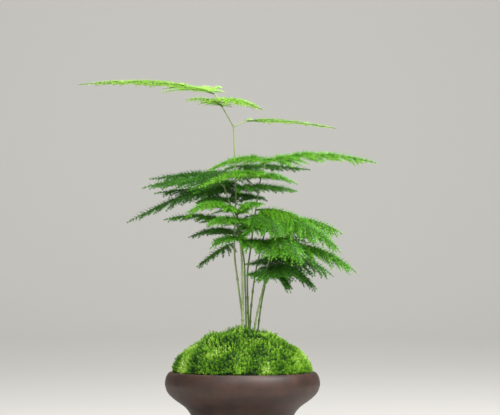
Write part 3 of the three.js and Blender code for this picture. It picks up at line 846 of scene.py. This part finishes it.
            # Painted shade: the lower a ring of leaves sits on its stalk, the darker its leaves.
            dark = self.painted_foot_shade * (1 - level)
            for k in range(leaves):
                turn = first + 2 * np.pi * k / leaves + self.leaf_turn * (draws.random(count) - 0.5)
                tilt = np.radians(lean * vary(draws, self.lean_vary, count))
                way = leaned(upward, helper, turn, tilt)
                lengths = self.leaf * vary(draws, self.leaf_vary, count) * shorter
                surface.spikes(feet + upward * (tall * level)[:, None], way, lengths,
                               self.leaf_radius * slimmer, tone - dark, self.leaf_pale)
        # The tip leaf rises from the cushion, with painted shade at its foot.
        over, dark, pale = self.tip_leaf
        surface.spikes(feet, upward, tall + over * self.leaf, self.leaf_radius, tone - dark, pale)
        return surface

    def build(self) -> None:
        """Makes the cushion and its shoots."""
        material = MOSS_LEAVES.material()
        settle(self.cushion().make("moss_cushion", material), "moss")
        settle(self.shoots().make("moss_shoots", material), "moss")


@dataclass(frozen=True)
class StemPlan:
    """One stem: its points from the root end up, its radius at both ends, its bare joints and its tone."""

    points: tuple[Triple, ...]
    radius: Pair
    joints: tuple[float, ...]
    pale: float


@dataclass(frozen=True)
class StalkPlan:
    """A short stalk at a stem's forked end: the stem, where the stalk ends, and its radius at both ends."""

    stem: str
    to: Triple
    radius: Pair


STEMS = {
    "tall": StemPlan(((2.2, 3.4, 72), (1.2, 3.2, 95), (-3.8, 2.6, 134), (-6.5, 2.4, 160), (-5.4, 2.8, 205),
                      (-7.2, 3, 259)), (0.85, 0.55), (136, 224), 0.75),
    "thick": StemPlan(((0.6, -6.2, 70), (0.4, -6.2, 92), (0, -5.6, 128), (-0.6, -5.2, 152), (-2.4, -6.6, 172),
                       (-4.4, -9, 188)), (1.15, 0.7), (104, 141), 0.8),
    "left": StemPlan(((3.8, -1.8, 70), (3.2, -1.6, 95), (2.2, -1.4, 128), (0.8, -1.6, 155), (-6, -3.6, 184),
                      (-15, -6, 211)), (0.8, 0.5), (109.5, 196), 0.4),
    "upright": StemPlan(((6.4, 3.8, 72), (5.2, 3.6, 95), (3.9, 3.2, 137), (6.4, 3.6, 160), (11.2, 4.4, 196),
                         (14.4, 5, 216), (19, 5.4, 231)), (0.85, 0.5), (121, 139), 0.45),
    "middle": StemPlan(((6.2, 8.4, 72), (6, 8, 97), (7.6, 7, 120), (10.6, 6, 142), (15.6, 3, 164),
                        (19.4, 0, 181)), (0.8, 0.5), (102, 115, 126), 0.4),
    "right": StemPlan(((9.2, -2.4, 70), (9.6, -2.4, 95), (12.6, -2.8, 112), (17.6, -3.6, 134),
                       (22.4, -6.4, 158)), (0.85, 0.55), (101, 110, 120), 0.6),
    "outer": StemPlan(((12.6, 3.6, 70), (12.4, 3.8, 92), (14.8, 4.6, 114), (18, 6, 130), (21, 8, 143)),
                      (0.85, 0.5), (103, 114), 0.3),
}

STALKS = {
    "left_stalk": StalkPlan("tall", (-22.5, 11, 286), (0.6, 0.45)),
    "right_stalk": StalkPlan("tall", (3.4, 8, 264), (0.5, 0.4)),
}


@dataclass
class Stems:
    """The seven wiry stems, with a swelling and two dry little scale leaves at each bare joint."""

    steps: int = 12  # straight lengths between two of a stem's points
    fineness: float = 0.6  # of those lengths once they are made finer, so that the joints show
    sides: int = 10
    seed: int = 40
    knuckle: float = 1.5  # how much thicker a stem is at its tip, where a frond leaves it
    swelling: float = 0.5  # how much thicker it is at a joint, as a share of its radius
    swelling_length: float = 1.1
    paler_up: float = 0.2  # how much paler it is at its tip
    speckle: float = 0.06
    scales: tuple[Pair, ...] = ((62, 2.6), (40, 1.56))  # rise in degrees and length of each scale leaf
    scale_width: float = 0.8  # a scale leaf's radius at its foot, as a share of the stem's
    scale_tone: Pair = (0.9, 0.3)  # freshness at its foot, and how much fresher it is at its tip
    lines: dict[str, np.ndarray] = field(default_factory=dict)
    radii: dict[str, Pair] = field(default_factory=dict)

    def __post_init__(self) -> None:
        """Lays the line of every stem and stalk."""
        for name, plan in STEMS.items():
            self.lines[name] = curve_through(np.array(plan.points, float), self.steps)
            self.radii[name] = plan.radius
        for name, stalk in STALKS.items():
            foot = self.lines[stalk.stem][-1]
            self.lines[name] = foot + (np.array(stalk.to) - foot) * np.linspace(0, 1, self.steps)[:, None]
            self.radii[name] = stalk.radius

    def thickness(self, name: str, joints: tuple[float, ...]) -> np.ndarray:
        """Works out a stem's radius at each of its points.

        Args:
            name: The stem or stalk.
            joints: The heights of its joints.

        Returns:
            Its radii, with a swelling at each joint and at its tip.
        """
        line = self.lines[name]
        radii = np.linspace(*self.radii[name], len(line))
        for height in (*joints, line[-1, 2]):
            thicker = self.knuckle - 1 if height == line[-1, 2] else self.swelling
            radii = radii * (1 + thicker * np.exp(-(((line[:, 2] - height) / self.swelling_length) ** 2)))
        return radii

    def finer(self, name: str) -> None:
        """Adds points to a stem's line, so that its joints show."""
        shares = np.linspace(0, 1, int(length_of(self.lines[name]) / self.fineness))
        self.lines[name] = places_on(self.lines[name], shares)[0]

    def build(self) -> None:
        """Makes every stem with its stalks and scale leaves."""
        material = STEM_BARK.material()
        for number, (name, plan) in enumerate(STEMS.items()):
            surface = Surface()
            draws = np.random.default_rng(self.seed + number)
            self.finer(name)
            line = self.lines[name]
            climb = np.linspace(0, 1, len(line))
            pale = plan.pale + self.paler_up * climb + self.speckle * draws.standard_normal(len(line))
            surface.tube(line, self.thickness(name, plan.joints), self.sides, pale, 0.0)
            for other in (key for key, stalk in STALKS.items() if stalk.stem == name):
                surface.tube(self.lines[other], self.thickness(other, ()), self.sides, plan.pale, 0.0)
            for height in plan.joints:
                joint = line[np.argmin(np.abs(line[:, 2] - height))]
                ways = np.array([direction(360 * draws.random(), rise) for rise, _ in self.scales])
                lengths = [length for _, length in self.scales]
                feet = np.repeat([joint], len(self.scales), axis=0)
                surface.spikes(feet, ways, lengths, self.scale_width * plan.radius[0], *self.scale_tone)
            settle(surface.make(f"stem_{name}_bark", material), f"stem_{name}")


@dataclass(frozen=True)
class FrondPlan:
    """One frond, as in the solids, in degrees and millimetres.

    Its stem and how far up it the frond grows, where its midrib's tip hangs, how high the midrib arches over
    the straight way there and how far it sweeps to its left, the number of its side twigs and the length of
    the longest, its tilt to the right and the hang of its sides, its tone, which paints shade on the rear and
    lower fronds, and how long its needles are, as a share of the longest.
    """

    on: str
    at: float
    tip: Triple
    arch: float
    sweep: float
    twigs: tuple[int, float]
    tilt: Pair
    # Tone: painted shade, low on the rear and lower fronds and high on those in front and on top.
    fresh_and_shade: float
    needles: float = 1.0


# The tone of each frond is painted shade: the rear and lower fronds get low values, so they are darker than
# those in front and on top.
FRONDS = {name: FrondPlan(*row) for name, row in {
    "top_left": ("left_stalk", 1, (-136, 58, 296.4), 5.6, -10, (12, 46), (0, -3), 0.86, 0.65),
    "top_near": ("left_stalk", 0.77, (16, -28, 271), 4, -4, (8, 30), (1, 2), 0.88, 0.65),
    "top_right": ("right_stalk", 1, (76, 18, 258.3), 2.5, 10, (8, 22), (0, -5), 0.86, 0.7),
    "crown_right": ("upright", 1, (109, 12, 229.8), 7.2, 16, (10, 36), (0, 8), 0.68),
    "crown_near": ("upright", 1, (-28, -16, 223), 6, 8, (7, 24), (0, 4), 0.64),
    "crown_low": ("tall", 0.83, (55, 30, 225), 2, 8, (7, 26), (0, 4), 0.46),
    "fore_left": ("upright", 0.91, (-35, -26, 209), 8, 10, (8, 26), (0, 4), 0.66),
    "fore_right": ("upright", 0.92, (41, -14, 214), 3, -6, (6, 20), (0, 3), 0.56),
    "mid_right": ("tall", 0.735, (44, 8, 207), 3, -8, (7, 26), (0, 5), 0.44),
    "crown_left": ("left", 1, (-82, 32, 210), 6.5, -10, (8, 36), (4, 5), 0.42),
    "crown_back": ("tall", 0.8, (-77, 56, 218), 2.5, -10, (8, 36), (0, 6), 0.36),
    "rear_mid": ("tall", 0.72, (-73, 50, 206), 3.5, -8, (7, 32), (0, 12), 0.36),
    "rear_left": ("tall", 0.76, (-95, 46, 182), 7, -10, (9, 36), (6, 6), 0.38),
    "low_left": ("tall", 0.58, (-64, 18, 184), 5, -6, (7, 30), (0, 6), 0.41),
    "back_low": ("tall", 0.53, (-44, 36, 170), 6, -8, (6, 24), (0, 6), 0.34),
    "under_left": ("tall", 0.5, (-37, 14, 146), 3, -4, (5, 17), (0, 10), 0.37),
    "mid_left": ("thick", 1, (-45, -24, 189), 8, 6, (8, 28), (4, 8), 0.6),
    "mid_near": ("thick", 1, (3, -30, 193), 6, 8, (6, 20), (0, 4), 0.58),
    "front_left": ("thick", 0.93, (-28, -34, 180), 5, 6, (8, 25), (4, 10), 0.56),
    "apron_left": ("thick", 0.82, (-24, -26, 164), 4, 4, (7, 22), (4, 6), 0.52),
    "apron_right": ("thick", 0.8, (24, -36, 154), 7, 6, (8, 30), (-4, 14), 0.54),
    "core_left": ("left", 0.9, (-38, 10, 198), 4, -6, (6, 26), (0, 4), 0.36),
    "core": ("upright", 0.81, (-8, 16, 205), 1, -3, (6, 18), (0, 8), 0.42),
    "core_near": ("middle", 0.97, (0, -24, 172), 5, 4, (7, 28), (0, 16), 0.5),
    "heart": ("upright", 0.7, (30, -36, 170), 8, 0, (9, 34), (-4, 14), 0.52),
    "core_back": ("upright", 0.72, (62, 34, 164), 9, 6, (8, 34), (0, 18), 0.38),
    "shoulder": ("upright", 0.75, (66, -12, 170), 7.5, 4, (11, 38), (-2, 22), 0.72),
    "shoulder_far": ("middle", 1, (81, -6, 172), 8, 6, (9, 34), (-2, 30), 0.66),
    "shoulder_low": ("middle", 0.93, (79, -22, 157), 15, 0, (10, 38), (-4, 20), 0.58),
    "inner": ("middle", 0.84, (46, -44, 148), 12, 4, (9, 36), (-8, 18), 0.56),
    "cascade": ("right", 1, (92, -6, 141), 12, 4, (10, 40), (-2, 19), 0.58),
    "rear_right": ("right", 0.86, (74, 30, 138), 13, 6, (10, 38), (-10, 18), 0.42),
    "under_near": ("right", 0.78, (14, -30, 136), 5, 4, (7, 26), (0, 12), 0.42),
    "under_right": ("outer", 0.86, (37, 2, 129), 9, 2, (7, 26), (-6, 14), 0.4),
    "under_far": ("outer", 1, (60, 22, 128), 10, 4, (8, 32), (-10, 14), 0.4),
    "top_low": ("left_stalk", 0.6, (-45, -14, 280), 3, 4, (5, 16), (0, 6), 0.84, 0.7),
}.items()}


@dataclass(frozen=True)
class Rod:
    """The wood of a midrib, a twig or a branchlet, and how its needles sit on it.

    Its radius at both ends, the number of its sides and of its straight lengths, the share of it below its
    first needle, and how long its needles are, as a share of its frond's.
    """

    foot: float
    tip: float
    sides: int
    steps: int
    bare: float
    needles: float = 1.0

    def grow(self, surface: Surface, line: np.ndarray, fresh_and_shade: float) -> None:
        """Adds the wood along a line."""
        surface.tube(line, np.linspace(self.foot, self.tip, len(line)), self.sides, fresh_and_shade)


@dataclass
class Frond:
    """A flat frond: its midrib, side twigs, fine branchlets, and the needles on all of them."""

    name: str
    number: int  # picks its draws
    plan: FrondPlan
    stems: Stems
    midrib_rod: Rod = Rod(0.7, 0.25, 6, 24, 0.12)
    twig_rod: Rod = Rod(0.42, 0.16, 4, 9, 0.02)
    branchlet_rod: Rod = Rod(0.22, 0.1, 3, 4, 0.0, 0.7)
    # Seeds of the first frond's twigs and finer twigs, and the steps to those of the next.
    twig_seeds: tuple[tuple[int, int], ...] = ((7, 101), (17, 211))
    needle_seed: int = 300
    twig_bend: Pair = (16, 16)  # how far it curls along the midrib and how far it sags
    twig_start: float = 0.04
    twig_stretch: float = 0.82
    twig_shuffle: float = 0.2
    twig_vary: Triple = (6, 0.12, 4)  # of its splay, its length and its rise
    splay: Pair = (88, 36)
    span_taper: float = 0.75
    span_start: float = 0.8
    span_growth: float = 1.5
    shortest: float = 3
    strong: float = 0.85  # size over which shortest_strong holds
    shortest_strong: float = 9.6
    # Finer twigs for each of the solids': how far along its stretch, on which side, and how long.
    finer_twigs: tuple[tuple[float, int, float], ...] = (
        (0.5, -1, 0.84), (0.0, 1, 0.76), (0.25, -1, 0.6), (0.75, 1, 0.6), (1.0, -1, 0.76))
    finer_shuffle: float = 0.15
    finer_vary: Triple = (9, 12, 0.2)  # of its splay, its rise and its length
    branchlet_spacing: float = 5
    branchlet_free: float = 5  # length of a twig that has no branchlets
    branchlet_stretch: Pair = (0.08, 0.78)  # share of the twig below them, and share that they take up
    branchlet_shuffle: Pair = (0.3, 0.4)
    branchlet_share: float = 0.22  # a branchlet's length, as a share of its twig's
    branchlet_longest: float = 5
    branchlet_taper: float = 0.4
    branchlet_vary: Pair = (0.75, 0.5)
    branchlet_splay: Pair = (38, 14)
    branchlet_lift: Pair = (0.8, 14)  # share of its twig's rise that it keeps, and how much it varies
    branchlet_bend: Pair = (14, 6)
    needle_length: float = 4.8
    needle_radius: float = 0.22
    needle_lean: float = 52
    needle_pale: float = 0.1
    turn_vary: float = 30
    lean_vary: Pair = (0.75, 0.5)
    length_vary: Pair = (0.75, 0.45)
    tone_vary: float = 0.2
    closing_length: float = 14  # stretch at a twig's end over which it closes to a slim point
    closed_lean: float = 0.5  # share of a needle's lean that is left at the very end
    closed_length: float = 0.3  # share of its length that is left there
    closing_power: float = 0.8
    closed_fresh: float = 0.16  # how much fresher it is there
    fresh_power: int = 3
    tuft_spacing: float = 2.7
    tuft_needles: int = 11
    tuft_least: float = 0.75  # share of those needles that a tuft of short ones has at least
    tuft_shuffle: float = 0.4
    tuft_width: float = 0.14  # as a share of the tufts' spacing
    golden_angle: float = 137.5
    nudge: float = 0.01  # keeps the helper from vanishing where a line bends upright

    def __post_init__(self) -> None:
        """Lays the midrib, in an arc that starts just off its stem."""
        plan, stems, thick = self.plan, self.stems, self.midrib_rod.foot
        self.surface = Surface()
        self.draws = np.random.default_rng(self.needle_seed + self.number)
        foot_radius, tip_radius = stems.radii[plan.on]
        self.root, along = places_on(stems.lines[plan.on], plan.at)
        tip = np.array(plan.tip, float)
        left = unit(np.cross([0, 0, 1], (tip - self.root) * [1, 1, 0]))
        crest = (self.root + tip) / 2 + 2 * (plan.arch * np.array([0, 0, 1]) + plan.sweep * left)
        outward = unit(crest - self.root)
        lean = math.acos(float(np.clip(outward.dot(along), -1, 1)))
        if plan.at == 1:
            slant = math.sin(lean) * math.cos(lean)
            away = stems.knuckle * tip_radius * math.sin(lean) + GAP + thick * slant
        else:
            radius = foot_radius + (tip_radius - foot_radius) * plan.at
            away = (radius + GAP + thick * abs(math.cos(lean))) / math.sin(lean)
        self.corners = np.array([self.root + outward * away, crest, tip])
        first, middle, last = self.corners
        t = np.linspace(0, 1, self.midrib_rod.steps + 1)[:, None]
        self.midrib = (1 - t) ** 2 * first + 2 * t * (1 - t) * middle + t**2 * last

    def twig(self, share: float, side: int, turn: float, raised: float, size: float) -> np.ndarray:
        """Lays one side twig.

        Args:
            share: How far along the midrib it grows.
            side: 1 for the left and -1 for the right.
            turn: What is added to its splay, in degrees.
            raised: What is added to its rise, in degrees.
            size: Its length, as a share of the full one at its place.

        Returns:
            The twig's points.
        """
        first, middle, last = self.corners
        heading, rise = bearing(unit((1 - share) * (middle - first) + share * (last - middle)))
        splay = self.splay[0] + (self.splay[1] - self.splay[0]) * share + turn
        fullness = (1 - share) ** self.span_taper * min(1, self.span_start + self.span_growth * share)
        least = self.shortest_strong if size > self.strong else self.shortest
        length = max(self.plan.twigs[1] * fullness * size, least)
        carried = rise * (1 + math.cos(math.radians(splay))) / 2
        lift = carried - side * self.plan.tilt[0] - self.plan.tilt[1] + raised
        foot, _ = places_on(self.midrib, share)
        curl, sag = self.twig_bend
        return bow(foot, (heading + side * splay, lift, length), (-side * curl, sag), self.twig_rod.steps)

    def twigs(self) -> list[np.ndarray]:
        """Lays the side twigs of the solids, in turn to the left and right, and the finer ones between them.

        Returns:
            The points of each twig.
        """
        draws, finer = (Stream(seed + step * self.number) for seed, step in self.twig_seeds)
        count = self.plan.twigs[0]
        splay_vary, lift_vary, size_vary = self.finer_vary
        made = []
        for i in range(count):
            side = -1 if i % 2 else 1
            share = self.twig_start + self.twig_stretch * (i + 0.5 + draws.around(self.twig_shuffle)) / count
            turn, longer, raised = (draws.around(spread) for spread in self.twig_vary)
            made.append(self.twig(share, side, turn, raised, 1 + longer))
            for place, other, size in self.finer_twigs:
                step = i + place + finer.around(self.finer_shuffle)
                share = self.twig_start + self.twig_stretch * step / count
                turn = finer.around(splay_vary)
                raised = finer.around(lift_vary * self.plan.needles)
                size *= 1 + finer.around(size_vary)
                made.append(self.twig(share, side * other, turn, raised, size))
        return made

    def branchlets(self, twig: np.ndarray) -> list[np.ndarray]:
        """Lays the fine branchlets of one twig, near the frond's own plane.

        Args:
            twig: The twig's points.

        Returns:
            The points of each branchlet.
        """
        length = length_of(twig)
        count = int((length - self.branchlet_free) / self.branchlet_spacing)
        longest = min(self.branchlet_longest, self.branchlet_share * length)
        start, stretch = self.branchlet_stretch
        kept, spread = self.branchlet_lift
        curl, sag = self.branchlet_bend
        made = []
        for j in range(count):
            side = 1 if j % 2 else -1
            share = start + stretch * (j + vary(self.draws, self.branchlet_shuffle)) / count
            place, along = places_on(twig, share)
            heading, rise = bearing(along)
            reach = longest * (1 - share) ** self.branchlet_taper * vary(self.draws, self.branchlet_vary)
            heading += side * vary(self.draws, self.branchlet_splay)
            rise = kept * rise + spread * (self.draws.random() - 0.5)
            made.append(bow(place, (heading, rise, reach), (-side * curl, sag), self.branchlet_rod.steps))
        return made

    def needles(self, line: np.ndarray, rod: Rod) -> None:
        """Sets tufts of needles all round a line, shorter and closer to it towards its tip.

        Args:
            line: The line's points.
            rod: The wood that follows it.
        """
        draws = self.draws
        scale = rod.needles * self.plan.needles
        length = length_of(line)
        per_tuft = round(self.tuft_needles * max(scale, self.tuft_least))
        tufts = max(2, round(length * (1 - rod.bare) / self.tuft_spacing))
        count = tufts * per_tuft
        middles = np.arange(tufts) + 0.5 + self.tuft_shuffle * (draws.random(tufts) - 0.5)
        spots = np.repeat(middles, per_tuft) + self.tuft_width * (draws.random(count) - 0.5)
        shares = rod.bare + (1 - rod.bare) * spots / tufts
        places, along = places_on(line, shares)
        helper = unit(np.cross(along, np.array([0.0, 0.0, 1.0]) + self.nudge * along[0]))
        turn = np.radians(self.golden_angle * np.arange(count) + self.turn_vary * draws.random(count))
        closing = np.clip((1 - shares) * length / self.closing_length, 0, 1)
        lean = self.needle_lean * (self.closed_lean + (1 - self.closed_lean) * closing)
        lean = np.radians(lean * vary(draws, self.lean_vary, count))
        ways = leaned(along, helper, turn, lean)
        closed = self.closed_length + (1 - self.closed_length) * closing**self.closing_power
        lengths = self.needle_length * scale * closed * vary(draws, self.length_vary, count)
        # Each frond's tone, painted shade on the rear and lower fronds, varied at random and paler towards
        # the tips.
        shade = self.plan.fresh_and_shade + self.tone_vary * (draws.random(count) - 0.5)
        shade = shade + self.closed_fresh * (1 - closing) ** self.fresh_power
        self.surface.spikes(places, ways, lengths, self.needle_radius, shade, self.needle_pale)

    def build(self, material: bpy.types.Material) -> None:
        """Makes the frond.

        Args:
            material: Its finish.
        """
        self.midrib_rod.grow(self.surface, np.vstack([self.root, self.midrib]), self.plan.fresh_and_shade)
        self.needles(self.midrib, self.midrib_rod)
        for twig in self.twigs():
            self.twig_rod.grow(self.surface, twig, self.plan.fresh_and_shade)
            self.needles(twig, self.twig_rod)
            for branchlet in self.branchlets(twig):
                self.branchlet_rod.grow(self.surface, branchlet, self.plan.fresh_and_shade)
                self.needles(branchlet, self.branchlet_rod)
        frond = self.surface.make(f"frond_{self.name}_spray", material)
        settle(frond, f"frond_{self.name}")


@dataclass(frozen=True)
class Lamp:
    """A soft square lamp: where it hangs in metres, its watts, the length of its sides, and its aim."""

    place: Triple
    power: float
    size: float
    target: Triple = (0, 0, 0.16)

    def hang(self, name: str) -> None:
        """Hangs the lamp.

        Args:
            name: The lamp's name.
        """
        light = bpy.data.lights.new(name, "AREA")
        light.energy = self.power
        light.size = self.size
        lamp = bpy.data.objects.new(name, light)
        lamp.location = self.place
        lamp.rotation_euler = (Vector(self.target) - Vector(self.place)).to_track_quat("-Z", "Y").to_euler()
        bpy.context.scene.collection.objects.link(lamp)


LAMPS = {
    "key": Lamp((0.85, -0.8, 1.35), 36, 0.8),
    "front": Lamp((-0.35, -1.3, 1.15), 8, 0.42),
    "top": Lamp((0.1, 0.3, 1.6), 26, 0.6),
    "fill": Lamp((-1.3, -0.9, 0.7), 2, 1.0),
    "wall": Lamp((0, 1.6, 2.4), 66, 1.2, (0, 5.0, 0.9)),
}


@dataclass
class Studio:
    """A pale bowl-shaped floor, pale surroundings, and a camera at the photograph's angle. In metres."""

    floor_flat: float = 2.2
    floor_edge: float = 5.0
    floor_rise: float = 3.0
    floor_curve: float = 2.2
    floor_thickness: float = 0.05
    floor_rings: int = 24
    floor_sides: int = 96
    surroundings: str = "#dfe1e4"
    surroundings_strength: float = 0.16
    camera_place: Triple = (0.00603, -2.0, 0.167)
    camera_pitch: float = 0.77  # degrees that the camera looks up
    camera_reach: float = 50
    lens: float = 179.1
    sensor: float = 36.0

    def floor(self) -> None:
        """Makes the floor, whose rim curves up all round."""
        radii = np.linspace(self.floor_flat, self.floor_edge, self.floor_rings)
        share = (radii - self.floor_flat) / (self.floor_edge - self.floor_flat)
        top = np.stack([radii, self.floor_rise * share**self.floor_curve], axis=-1)[::-1]
        under = top[::-1] - [0, self.floor_thickness]
        surface = Surface()
        profile = np.vstack([[(0, -self.floor_thickness)], under, top, [(0, 0)]])
        surface.turned(profile / MM, self.floor_sides)
        floor = surface.make("studio_floor", FloorFinish().material())

    def camera(self) -> None:
        """Sets the camera at the photograph's place and angle."""
        data = bpy.data.cameras.new("view")
        data.lens = self.lens
        data.sensor_width = self.sensor
        data.clip_end = self.camera_reach
        camera = bpy.data.objects.new("view", data)
        camera.location = self.camera_place
        camera.rotation_euler = (math.radians(90 + self.camera_pitch), 0, 0)
        bpy.context.scene.collection.objects.link(camera)
        bpy.context.scene.camera = camera

    def build(self) -> None:
        """Sets up the floor, the lamps, the surroundings and the camera."""
        self.floor()
        for name, lamp in LAMPS.items():
            lamp.hang(name)
        world = bpy.data.worlds.new("surroundings")
        world.use_nodes = True
        backdrop = world.node_tree.nodes["Background"]
        backdrop.inputs["Color"].default_value = linear(self.surroundings)
        backdrop.inputs["Strength"].default_value = self.surroundings_strength
        bpy.context.scene.world = world
        bpy.context.scene.view_settings.view_transform = "Standard"
        self.camera()


def main() -> None:
    """Dresses the solids, piece by piece, and sets up the studio."""
    logging.basicConfig(level=logging.INFO, format="%(message)s")
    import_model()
    ClayPot().build()
    PottingSoil().build()
    MossCushion().build()
    stems = Stems()
    stems.build()
    foliage = NEEDLES.material()
    for number, (name, plan) in enumerate(FRONDS.items()):
        Frond(name, number, plan, stems).build(foliage)
    Studio().build()


if __name__ == "__main__":
    main()
